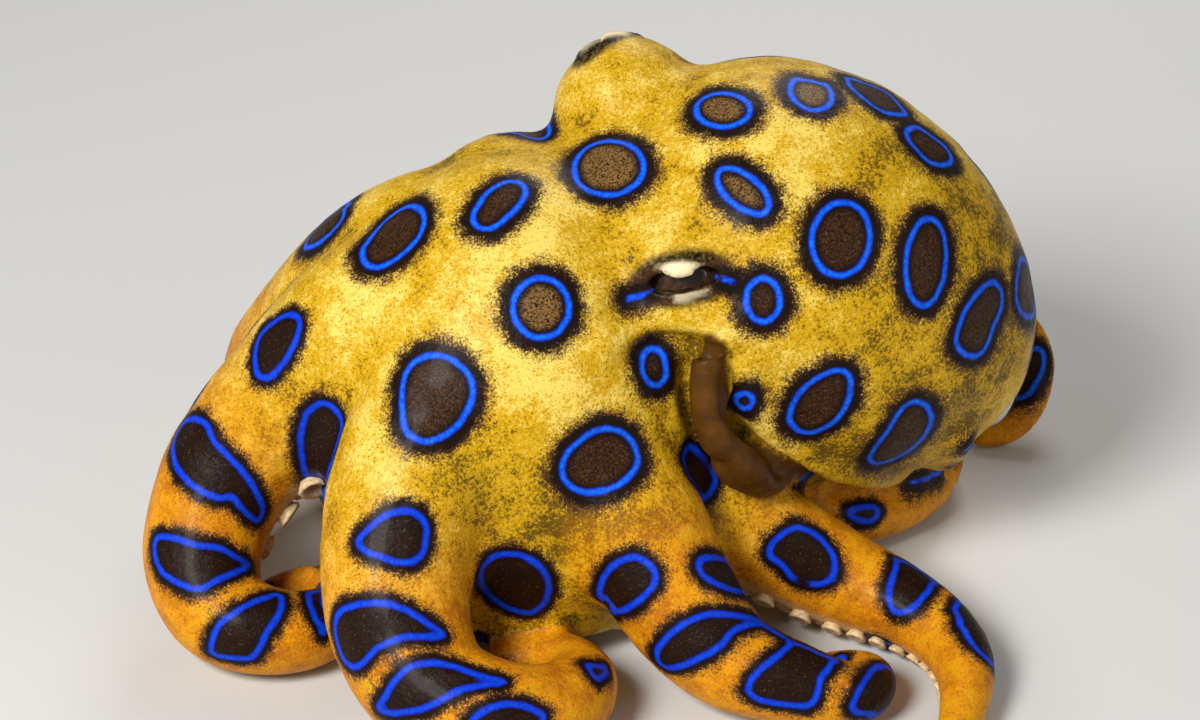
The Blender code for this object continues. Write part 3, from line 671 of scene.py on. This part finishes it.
def ringsOutOfView(tree, taken):
    draw = random.Random(farRings["seed"])
    middles = [sum(loop, Vector()) / len(loop) for loop, normal, tone in taken]
    outlines = [np.array([*loop, middle]) for (loop, normal, tone), middle in zip(taken, middles)]

    def room(spot, size, apart):
        # its middle far enough from the other rings' middles, and free of their lines
        if any((spot - other).length <= apart * mm for other in middles):
            return False
        nearest = min(np.linalg.norm(outline - spot, axis=1).min() for outline in outlines)
        return nearest > (size + farRings["gap"]) * mm

    def added(spot, loop):
        middles.append(spot)
        outlines.append(np.array(loop))
        return loop

    def peeks(loop):
        return sum(isSeen(tree, spot) for spot in loop) > farRings["peek"] * len(loop)

    for points, radii in routes.values():
        stop, last = (share * arms["steps"] for share in farRings["armStretch"])
        count = 0
        step = (points[-1] - points[-2]).length
        while stop < last:
            i = int(stop)
            size = radii[i]
            stop += farRings["armPitch"] * size / step
            ahead = (points[i + 1] - points[i - 1]).normalized()
            up = (Vector((0, 0, 1)) - ahead * ahead.z).normalized()
            sizes = [share * size for share in farRings["armSize"]]
            for side in (-1, 1):
                angle = side * math.radians(farRings["armSides"][count % 2])
                out = Matrix.Rotation(angle, 3, ahead) @ up
                spot, normal, face, gap = tree.find_nearest(place(points[i] + out * size))
                hidden = gap <= farRings["offArm"] * mm and not isSeen(tree, spot)
                if not hidden or not room(spot, sizes[1], size * farRings["armApart"]):
                    continue
                loop = loopOnSkin(tree, spot, normal, ahead.cross(out), sizes)
                if not peeks(loop):
                    yield added(spot, loop), normal, ringTones["dark"]
            count += 1
    spots = [vert.co for vert in octopusSkin.data.vertices]
    for spot in draw.sample(spots, farRings["tries"]):
        size = draw.uniform(*farRings["size"])
        low = spot.z < farRings["lowest"] * mm
        if low or not room(spot, size, farRings["apart"]) or isSeen(tree, spot):
            continue
        spot, normal, face, gap = tree.find_nearest(spot)
        if normal.z < farRings["under"]:
            continue
        along = Vector((draw.uniform(-1, 1), draw.uniform(-1, 1), draw.uniform(-1, 1)))
        loop = loopOnSkin(tree, spot, normal, along, (size, size * draw.uniform(*farRings["shape"])))
        if not peeks(loop):
            yield added(spot, loop), normal, ringTones["brown"]


def insideLoop(spots, loop, normal):
    # in the plane that the loop lies nearest to, and not far above or below it
    middle = loop.mean(0)
    upright = abs(normal.z) >= 0.99      # has no level X, so it is tilted a little
    flat = np.array(facing(Vector((0.05, 0, 1)) if upright else normal))
    u, v, off = ((spots - middle) @ flat).T
    level = np.abs(off) < painting["level"] * np.linalg.norm(loop - middle, axis=1).max()
    lu, lv = ((loop - middle) @ flat)[:, :2].T
    eu, ev = np.roll(lu, -1), np.roll(lv, -1)
    crosses = (lv[None] > v[:, None]) != (ev[None] > v[:, None])
    at = lu + (v[:, None] - lv) * (eu - lu) / (ev - lv + 1e-12)
    return level & ((crosses & (u[:, None] < at)).sum(1) % 2 == 1)


def paintRings(piece):
    # for each point of the skin: millimetres to the nearest blue line, less than nothing inside its ring,
    # the tone of that ring's centre, and whether its line is whole
    tree = treeOf(piece)
    spots, sides = readValues(piece, "co") / mm, readValues(piece, "normal")
    nearest, tones = np.full(len(spots), painting["far"]), np.zeros(len(spots))
    shown = list(ringsFromPicture(tree))
    hidden = list(ringsOutOfView(tree, shown))
    print(len(shown), "rings in view,", len(hidden), "out of view")
    for closed, group in ((True, shown + hidden), (False, strokesFromPicture(tree))):
        for loop, normal, tone in group:
            loop = np.array(loop) / mm
            middle = loop.mean(0)
            span = np.linalg.norm(loop - middle, axis=1).max() + painting["reach"]
            near = np.linalg.norm(spots - middle, axis=1) < span
            picked = np.where(near & (sides @ np.array(normal) > painting["turned"]))[0]
            signed = gapsTo(spots[picked], loop, closed)
            if closed:
                signed = np.where(insideLoop(spots[picked], loop, normal), -signed, signed)
            closer = signed < nearest[picked]
            nearest[picked[closer]] = signed[closer]
            tones[picked[closer]] = tone
    broken = np.array(seen(tree, lineBreak)[0]) / mm
    start, fade = painting["lineBreak"]
    whole = np.clip((np.linalg.norm(spots - broken, axis=1) - start) / fade, 0, 1)
    keepValues(piece, ringDistance=nearest, ringTone=tones, ringLine=whole)


paintRings(octopusSkin)
print("rings painted")

# patches of painted highlight (pale) and of painted shade (olive) as a pixel and a radius in millimetres;
# the pairs that follow are where a value starts and over how much it rises or fades, in shares of an arm,
# cosines or millimetres
zones = dict(
    pale=[((495, 285), 5.0), ((545, 215), 4.0), ((640, 120), 3.0), ((815, 165), 4.0), ((560, 400), 3.5),
          ((770, 340), 3.0), ((370, 290), 4.0)],
    olive=[((620, 75), 2.5), ((545, 515), 4.0), ((960, 410), 5.0), ((1000, 230), 5.0), ((820, 470), 3.0),
           ((640, 520), 3.0), ((470, 450), 2.5), ((880, 470), 4.0), ((900, 350), 4.5), ((985, 325), 5.0),
           ((880, 160), 3.0), ((700, 520), 3.0)],
    hollowRounds=26, onArm=1.25, orange=(0.16, 0.22), armEdge=(1.08, 0.17), oralFrom=0.3, oral=(0.62, 0.25),
    down=(0.6, 0.3), high=(5, 4), funnel=(0.42, 0.3), lid=(1.0, 0.5), pearl=(1.15, 0.25),
    pearlShape=(0.62, 1, 1.3), lowerLid=(23, 28), lowerRim=(0.36, 0.25, 0.6),
)


def hollows(piece, rounds):
    # how far each point lies below the average of the skin round it, in millimetres
    edges = np.zeros(len(piece.data.edges) * 2, np.int32)
    piece.data.edges.foreach_get("vertices", edges)
    first, second = edges.reshape(-1, 2).T
    spots, sides = readValues(piece, "co") / mm, readValues(piece, "normal")
    count = len(spots)
    shares = np.bincount(edges, minlength=count)
    soft = spots.copy()
    for i in range(rounds):
        sums = [np.bincount(first, values[second], count) + np.bincount(second, values[first], count)
                for values in soft.T]
        soft = np.stack(sums, 1) / shares[:, None]
    return ((soft - spots) * sides).sum(1)


def within(distances, edge, fade, most=1):
    # full nearer than the edge, then fading away over a width that ends there
    return np.clip((edge - distances) / fade, 0, most)


# the rows' degrees from straight down, at the crown and further out, and where the one blends into the
# other; pitch and radius are shares of the arm's radius, rootRadius and the fan are in millimetres
suckers = dict(
    rows=(-6, 50), rootRows=(-14, 14), blend=(0.16, 0.16), pitch=0.31, radius=0.235, rootRadius=1.26,
    rootSize=(0.6, 30), fan=10.5, fanApart=0.95, fanTop=8.0, highest=16, turned=0.35, farFrom=0.42, far=1.3,
    clear=(0.05, 0.7), apart=0.92, vary=(0.94, 1.05), turn=(0, 40), squash=0.62, seed=11, sides=9,
    profile=((0.78, -0.5), (0.82, 0.25), (1.0, 0.72), (0.86, 1.0), (0.56, 0.74), (0.24, 0.42)),
)


def suckerWay(name, i, row):
    # the way a row of suckers faces: 0 is the row straight below, 1 the one turned to the inside of the curl
    points = routes[name][0]
    turns = sum(turn for part, turn in arms["routes"][name]["bends"])
    ahead = (points[min(i + 1, arms["steps"])] - points[max(i - 1, 0)]).normalized()
    down = (ahead * ahead.z - Vector((0, 0, 1))).normalized()
    blend = rise(i / arms["steps"], *suckers["blend"])
    low, high = (near + (away - near) * blend for near, away in zip(suckers["rootRows"], suckers["rows"]))
    angle = math.radians(low + (high - low) * row)
    return Matrix.Rotation(math.copysign(angle, turns), 3, ahead) @ down


def paintArms(piece):
    # orange: full on the outer arms, none on head and mantle; oral: the pale side that carries the suckers
    ways = []
    tree = KDTree(sum(len(points) for points, radii in routes.values()))
    for name, (points, radii) in routes.items():
        for i, point in enumerate(points):
            tree.insert(place(point), len(ways))
            ways.append((i / arms["steps"], radii[i] * mm, suckerWay(name, i, 0.5)))
    tree.balance()
    orange, oral = np.zeros(len(piece.data.vertices)), np.zeros(len(piece.data.vertices))
    for i, vert in enumerate(piece.data.vertices):
        spot, index, far = tree.find(vert.co)
        share, radius, way = ways[index]
        if far < radius * zones["onArm"]:
            orange[i] = rise(share, *zones["orange"]) * (1 - rise(far / radius, *zones["armEdge"]))
            if share > zones["oralFrom"]:
                oral[i] = rise((vert.co - spot).normalized().dot(way), *zones["oral"])
        below = rise(-vert.normal.z, *zones["down"]) * (1 - rise(vert.co.z / mm, *zones["high"]))
        oral[i] = max(oral[i], below)
    keepValues(piece, orange=orange, oral=oral)


def paintHighlightAndShadePatches(piece):
    sight = treeOf(piece)
    spots = readValues(piece, "co") / mm
    # the pale patches add painted highlight and the olive patches take it away as painted shade
    tint = np.zeros(len(spots))
    for sign, group in ((1, zones["pale"]), (-1, zones["olive"])):
        for pixel, radius in group:
            middle = np.array(seen(sight, pixel)[0]) / mm
            tint += sign * np.exp(-(np.linalg.norm(spots - middle, axis=1) / radius) ** 2)
    # the hollow depth is kept to darken creases as painted shade and lighten ridges as painted highlight
    keepValues(piece, tint=tint, hollow=hollows(piece, zones["hollowRounds"]))


def paintFunnelAndLids(piece):
    # the funnel's share marks the tube whose skin is painted dark brown as painted shade under the eye fold
    # and the mantle's rim
    spots = readValues(piece, "co") / mm
    tube = np.min([np.linalg.norm(spots - np.array(place(point) / mm), axis=1) - size
                   for point, size in zip(*smoothRoute(funnel["route"], funnel["radii"]))], axis=0)
    lids, pearls = np.full(len(spots), painting["far"]), np.zeros(len(spots))
    for side in ("left", "right"):
        eye = eyes[side]
        lid = np.array(list(lidPoints(eye))) + np.array(standing)
        lids = np.minimum(lids, gapsTo(spots, lid, True))
        lobe = np.linalg.norm((spots - np.array(pearlSpot(eye) + standing)) * zones["pearlShape"], axis=1)
        rim = gapsTo(spots, lid[slice(*zones["lowerLid"])], False)
        for values in (within(lobe, *zones["pearl"]), within(rim, *zones["lowerRim"])):
            pearls = np.maximum(pearls, values)
    keepValues(piece, funnel=within(tube, *zones["funnel"]), lid=within(lids, *zones["lid"]), pearl=pearls)


for paint in (paintArms, paintHighlightAndShadePatches, paintFunnelAndLids):
    paint(octopusSkin)
print("zones painted")

# colours are linear; a noise is a scale, a detail and a roughness
skinLook = dict(
    cream=(0.86, 0.62, 0.12), gold=(0.60, 0.34, 0.004), olive=(0.14, 0.078, 0.004),
    orange=(0.76, 0.30, 0.004), rust=(0.50, 0.16, 0.003), oral=(0.70, 0.50, 0.25),
    blue=(0.002, 0.016, 0.50), bright=(0.006, 0.16, 0.86), lineWidth=0.46, lineEdge=(0.05, 0.08),
    border=(0.010, 0.004, 0.002), halo=(0.070, 0.028, 0.010), tan=(0.24, 0.125, 0.035),
    # funnel is the dark brown laid on the funnel as painted shade
    brown=(0.062, 0.024, 0.008), dark=(0.018, 0.006, 0.003), funnel=(0.17, 0.065, 0.006),
    pearl=(0.86, 0.72, 0.45), specular=0.10, coat=0.025, coatRoughness=0.12, bump=(0.6, 0.00012),
    noises=dict(wide=(150.0, 4.0, 0.5), patch=(520.0, 4.0, 0.6), wobble=(1100.0, 3.0, 0.5),
                fine=(3400.0, 3.0, 0.65), grain=(6500.0, 2.0, 0.6)),
    values=("ringDistance", "ringTone", "ringLine", "orange", "oral", "tint", "hollow", "funnel", "lid",
            "pearl"),
)


class Nodes:
    def __init__(self, name):
        self.material = bpy.data.materials.new(name)
        self.material.use_nodes = True
        self.tree = self.material.node_tree
        self.shader = self.tree.nodes["Principled BSDF"]

    def add(self, kind, *links, **settings):
        # a node with its settings, its inputs given in order as values or as other nodes' outputs
        node = self.tree.nodes.new(kind)
        for key, value in settings.items():
            setattr(node, key, value)
        for i, link in enumerate(links):
            if link is not None:
                self.put(node.inputs[i], link)
        return node

    def put(self, socket, value):
        # a link from another node's output, or a constant
        if isinstance(value, bpy.types.NodeSocket):
            self.tree.links.new(value, socket)
        else:
            socket.default_value = (*value, 1.0) if isinstance(value, tuple) else value

    def surface(self, values):
        for name, value in values.items():
            self.put(self.shader.inputs[name], value)
        return self.material

    def maths(self, operation, *links):
        return self.add("ShaderNodeMath", *links, operation=operation).outputs[0]

    def times(self, first, second):
        return self.maths("MULTIPLY", first, second)

    def weighted(self, parts, **shares):
        # the sum of the named parts, each less its middle and times its share
        total = -sum(middle * share for middle, share in shares.values())
        for name, (middle, share) in shares.items():
            total = self.maths("MULTIPLY_ADD", parts[name], share, total)
        return total

    def ramp(self, value, *stops, ease="LINEAR"):
        node = self.add("ShaderNodeValToRGB", value)
        node.color_ramp.interpolation = ease
        while len(node.color_ramp.elements) < len(stops):
            node.color_ramp.elements.new(0.5)
        for element, (spot, colour) in zip(node.color_ramp.elements, stops):
            element.position = spot
            element.color = (*colour, 1.0) if isinstance(colour, tuple) else (colour, colour, colour, 1.0)
        return node.outputs[0]

    def mix(self, factor, first, second):
        node = self.add("ShaderNodeMix", data_type="RGBA", clamp_factor=True)
        for i, value in ((0, factor), (6, first), (7, second)):
            self.put(node.inputs[i], value)
        return node.outputs[2]

    def attribute(self, name):
        return self.add("ShaderNodeAttribute", attribute_name=name).outputs["Fac"]

    def noise(self, spot, scale, detail=3.0, roughness=0.5):
        return self.add("ShaderNodeTexNoise", spot, None, scale, detail, roughness).outputs[0]


def groundColour(nodes, parts):
    # mottled by noise from olive through gold to cream, plus painted shade (olive) in hollows and shaded
    # patches and painted highlight (cream) on raised skin and lit patches, and orange on the arms
    look, patch, fine, grain = skinLook, parts["patch"], parts["fine"], parts["grain"]
    # the patches add painted highlight and painted shade; the hollow share darkens creases as painted shade
    # and lightens raised skin as painted highlight
    ground = nodes.weighted(parts, wide=(0, 0.7), patch=(0.22, 0.80), tint=(0, 0.19), hollow=(0, -0.35),
                            fine=(0.5, 0.85), grain=(0.5, 0.45))
    stops = (0.28, look["olive"]), (0.56, look["gold"]), (0.90, look["cream"])
    colour = nodes.ramp(ground, *stops, ease="EASE")
    warm = nodes.weighted(parts, patch=(0, 1), fine=(0, 0.5))
    warm = nodes.ramp(warm, (0.62, look["rust"]), (0.86, look["orange"]), (1.0, look["gold"]))
    colour = nodes.mix(parts["orange"], colour, warm)
    colour = nodes.mix(nodes.times(parts["oral"], 0.75), colour, look["oral"])

    # dark and pale specks, then the funnel in dark brown as painted shade, the lids and the pale lobe
    speckle = nodes.ramp(grain, (0.33, 1.0), (0.40, 0.0))
    colour = nodes.mix(nodes.times(speckle, 0.55), colour, look["halo"])
    pale = nodes.ramp(grain, (0.60, 0.0), (0.70, 1.0))
    colour = nodes.mix(nodes.times(pale, 0.30), colour, look["cream"])
    colour = nodes.mix(parts["funnel"], colour, nodes.mix(patch, look["border"], look["funnel"]))
    lid = nodes.times(parts["lid"], nodes.ramp(fine, (0.45, 1.0), (0.85, 0.7)))
    colour = nodes.mix(lid, colour, look["border"])
    return nodes.mix(parts["pearl"], colour, look["pearl"])


def ringColour(nodes, colour, parts):
    # a speckled brown halo, a black border on both sides of the line, the centre, then the blue line
    look, tone, grain = skinLook, parts["ringTone"], parts["grain"]
    # the funnel's share keeps every ring away from it
    shifted = nodes.weighted(parts, ringDistance=(0, 1), funnel=(0, 20), wobble=(0.5, 0.25))
    dither = nodes.weighted(parts, grain=(0.5, 2.4), wobble=(0.5, 1.2))
    reach = nodes.times(nodes.times(shifted, nodes.ramp(tone, (0.5, 0.5), (1.0, 0.68))), 0.5)
    halo = nodes.ramp(nodes.maths("MULTIPLY_ADD", dither, 0.25, reach), (0.24, 1.0), (0.45, 0.0))
    colour = nodes.mix(halo, colour, look["halo"])
    edge = nodes.ramp(nodes.maths("MULTIPLY_ADD", dither, 0.10, reach), (0.18, 1.0), (0.29, 0.0))
    colour = nodes.mix(edge, colour, look["border"])
    middle = nodes.ramp(tone, (0.0, look["tan"]), (0.5, look["brown"]), (1.0, look["dark"]))
    middle = nodes.mix(nodes.ramp(grain, (0.36, 0.0), (0.60, 1.0)), look["border"], middle)
    middle = nodes.mix(nodes.ramp(grain, (0.62, 0.0), (0.74, 0.5)), middle, look["tan"])
    inner = nodes.maths("MULTIPLY_ADD", dither, 0.12, nodes.times(shifted, -1.0))
    colour = nodes.mix(nodes.ramp(inner, (0.38, 0.0), (0.85, 1.0)), colour, middle)

    half, (sharp, soft) = look["lineWidth"] / 2, look["lineEdge"]
    across = nodes.maths("ABSOLUTE", shifted)
    line = nodes.times(nodes.ramp(across, (half - sharp, 1.0), (half + soft, 0.0)), parts["ringLine"])
    shine = nodes.times(nodes.ramp(parts["fine"], (0.36, 0.35), (0.60, 1.0)),
                        nodes.ramp(tone, (0.5, 1.0), (1.0, 0.35)))
    shine = nodes.times(shine, nodes.ramp(across, (0.06, 1.0), (half, 0.15)))
    return nodes.mix(line, colour, nodes.mix(shine, look["blue"], look["bright"]))


def makeSkinMaterial():
    nodes = Nodes("octopusSkin")
    spot = nodes.add("ShaderNodeTexCoord").outputs["Object"]
    parts = {name: nodes.attribute(name) for name in skinLook["values"]}
    parts.update({name: nodes.noise(spot, *settings) for name, settings in skinLook["noises"].items()})
    height = nodes.weighted(parts, fine=(0, 0.8), wobble=(0, 1.6), grain=(0, 0.4))
    strength, depth = skinLook["bump"]
    return nodes.surface({
        "Base Color": ringColour(nodes, groundColour(nodes, parts), parts),
        "Normal": nodes.add("ShaderNodeBump", strength, depth, None, height).outputs[0],
        "Roughness": nodes.ramp(parts["wobble"], (0.3, 0.36), (0.7, 0.52)),
        "Specular IOR Level": skinLook["specular"],
        "Coat Weight": skinLook["coat"],
        "Coat Roughness": skinLook["coatRoughness"],
    })


octopusSkin.data.materials.append(makeSkinMaterial())
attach(octopusSkin, "root")
fleshNodes = [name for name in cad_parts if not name.startswith("eye_")]
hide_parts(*fleshNodes)
print("skin finished")


def makeEyeMaterial():
    nodes = Nodes("eyeball")
    spot = nodes.add("ShaderNodeTexCoord").outputs["Object"]
    flecks = nodes.noise(spot, 1800.0, 4.0, 0.6)
    colour = nodes.ramp(flecks, (0.35, (0.010, 0.006, 0.004)), (0.70, (0.085, 0.040, 0.015)))
    coat = {"Coat Weight": 1.0, "Coat Roughness": 0.03}
    return nodes.surface({"Base Color": colour, "Roughness": 0.15, **coat})


def buildEye(side):
    eye = eyes[side]
    bm = bmesh.new()
    size = eyes["radius"]
    addBall(bm, eye["at"], (size, size, size), facing(eye["looks"], eye["roll"]), (48, 32))
    piece = pieceFrom("eyeball_" + side, bm)
    piece.data.shade_smooth()
    piece.data.materials.append(eyeMaterial)
    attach(piece, "root")
    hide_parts("eye_" + side)


eyeMaterial = makeEyeMaterial()
for side in ("left", "right"):
    buildEye(side)
print("eyes built")


def unitSucker():
    # a round cup turned from rings of one radius and height each, its root closed
    bm = bmesh.new()
    cupShade = bm.verts.layers.float.new("cupShade")
    rings = extrudedRings(bm, suckers["sides"], len(suckers["profile"]))
    for i, (ring, (radius, height)) in enumerate(zip(rings, suckers["profile"])):
        for vert in ring:
            vert.co = Vector((vert.co.x * radius, vert.co.y * radius, height))
            # this depth darkens the cup's colour towards its bottom as painted shade
            vert[cupShade] = max(i - 3, 0) / 2      # 0 outside, up to 1 at the bottom of the cup
    bmesh.ops.recalc_face_normals(bm, faces=bm.faces)
    mesh = bpy.data.meshes.new("sucker")
    bm.to_mesh(mesh)
    bm.free()
    return mesh


def suckerSpots(name, tree):
    # place, way out and size of each sucker of an arm, two rows from the mouth to the tip
    points, radii = routes[name]
    step = (points[-1] - points[-2]).length
    stop, count = 0.0, 0
    while stop < arms["steps"] - 1:
        i = int(stop)
        small, steps = suckers["rootSize"]
        grown = small + (1 - small) * rise(stop, 0, steps)
        size = min(suckers["radius"] * radii[i], suckers["rootRadius"] * grown)
        stop += suckers["pitch"] / suckers["radius"] * size / step
        way = suckerWay(name, i, count % 2)
        count += 1
        start = place(points[i])
        out = (points[i] - crown["centre"]).to_2d()
        if out.length < suckers["fan"]:
            # under the crown the two rows fan out from the mouth
            side = suckers["fanApart"] if count % 2 else -suckers["fanApart"]
            across = out.orthogonal().normalized() * size * side
            start = place((*(crown["centre"].to_2d() + out + across), suckers["fanTop"]))
            way = Vector((0, 0, -1))
        spot, normal, face, far = tree.ray_cast(start, way)
        onArm = i <= suckers["farFrom"] * arms["steps"] or far <= radii[i] * suckers["far"] * mm
        if spot is None or normal.dot(way) < suckers["turned"] or not onArm:
            continue
        skip, room = suckers["clear"]
        blocked = tree.ray_cast(spot + normal * skip * mm, normal, size * room * mm)[0]
        if blocked is None and spot.z < suckers["highest"] * mm:
            yield spot, normal, size


def buildSuckers(side, material):
    tree = treeOf(octopusSkin)
    draw = random.Random(suckers["seed"])
    unit = unitSucker()
    bm = bmesh.new()
    bm.verts.layers.float.new("cupShade")
    placed = []
    for name in routes:
        if not name.startswith(side):
            continue
        for spot, normal, size in suckerSpots(name, tree):
            if any((spot - other).length < (size + wide) * suckers["apart"] * mm for other, wide in placed):
                continue
            placed.append((spot, size))
            size *= draw.uniform(*suckers["vary"])
            tilted = normal + Vector((0.001, 0, 0))      # never quite upright, which has no level X
            turn = facing(tilted, draw.uniform(*suckers["turn"])).to_4x4()
            first = len(bm.verts)
            bm.from_mesh(unit)
            bm.verts.ensure_lookup_table()
            shape = Matrix.Diagonal((size * mm, size * mm, size * suckers["squash"] * mm, 1.0))
            bmesh.ops.transform(bm, matrix=Matrix.Translation(spot) @ turn @ shape, verts=bm.verts[first:])
    for vert in bm.verts:
        vert.co.z = max(vert.co.z, 0.0)
    piece = pieceFrom("suckers_" + side, bm)
    piece.data.shade_smooth()
    piece.data.materials.append(material)
    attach(piece, "root")
    print(len(placed), "suckers on the", side)


def makeSuckerMaterial():
    nodes = Nodes("suckers")
    spot = nodes.add("ShaderNodeTexCoord").outputs["Object"]
    grain = nodes.noise(spot, 3000.0, 3.0, 0.6)
    colour = nodes.ramp(grain, (0.30, (0.52, 0.33, 0.13)), (0.62, (0.80, 0.62, 0.36)))
    # darker towards the bottom of the cup, painted shade
    colour = nodes.mix(nodes.attribute("cupShade"), colour, (0.30, 0.15, 0.045))
    bump = nodes.add("ShaderNodeBump", 0.5, 0.00008, None, grain).outputs[0]
    gloss = {"Roughness": 0.4, "Specular IOR Level": 0.35}
    return nodes.surface({"Base Color": colour, "Normal": bump, **gloss})


suckerMaterial = makeSuckerMaterial()
for side in ("left", "right"):
    buildSuckers(side, suckerMaterial)

# a light is its place and width in millimetres and its power in watts
studio = dict(
    floor=(0.66, 0.65, 0.62), floorRoughness=0.7, floorSize=1.5, world=0.15,
    key=((-150, -210, 240), 110, 1.32), fill=((240, -120, 130), 180, 0.14), back=((60, 260, 220), 160, 0.40),
)


def buildStudio():
    bm = bmesh.new()
    bmesh.ops.create_grid(bm, x_segments=1, y_segments=1, size=studio["floorSize"])
    floor = pieceFrom("floor", bm)
    look = {"Base Color": studio["floor"], "Roughness": studio["floorRoughness"]}
    floor.data.materials.append(Nodes("paleFloor").surface(look))
    for name in ("key", "fill", "back"):
        at, size, power = studio[name]
        data = bpy.data.lights.new(name, "AREA")
        data.size = size * mm
        data.energy = power
        light = bpy.data.objects.new(name, data)
        light.location = place(at)
        aim = place(view["target"]) - light.location
        light.rotation_euler = aim.to_track_quat("-Z", "Y").to_euler()
        bpy.context.scene.collection.objects.link(light)
    world = bpy.data.worlds.new("studio")
    world.use_nodes = True
    colour, strength = world.node_tree.nodes["Background"].inputs[:2]
    colour.default_value = (1.0, 1.0, 1.0, 1.0)
    strength.default_value = studio["world"]
    bpy.context.scene.world = world
    bpy.context.scene.view_settings.view_transform = "Standard"


buildStudio()
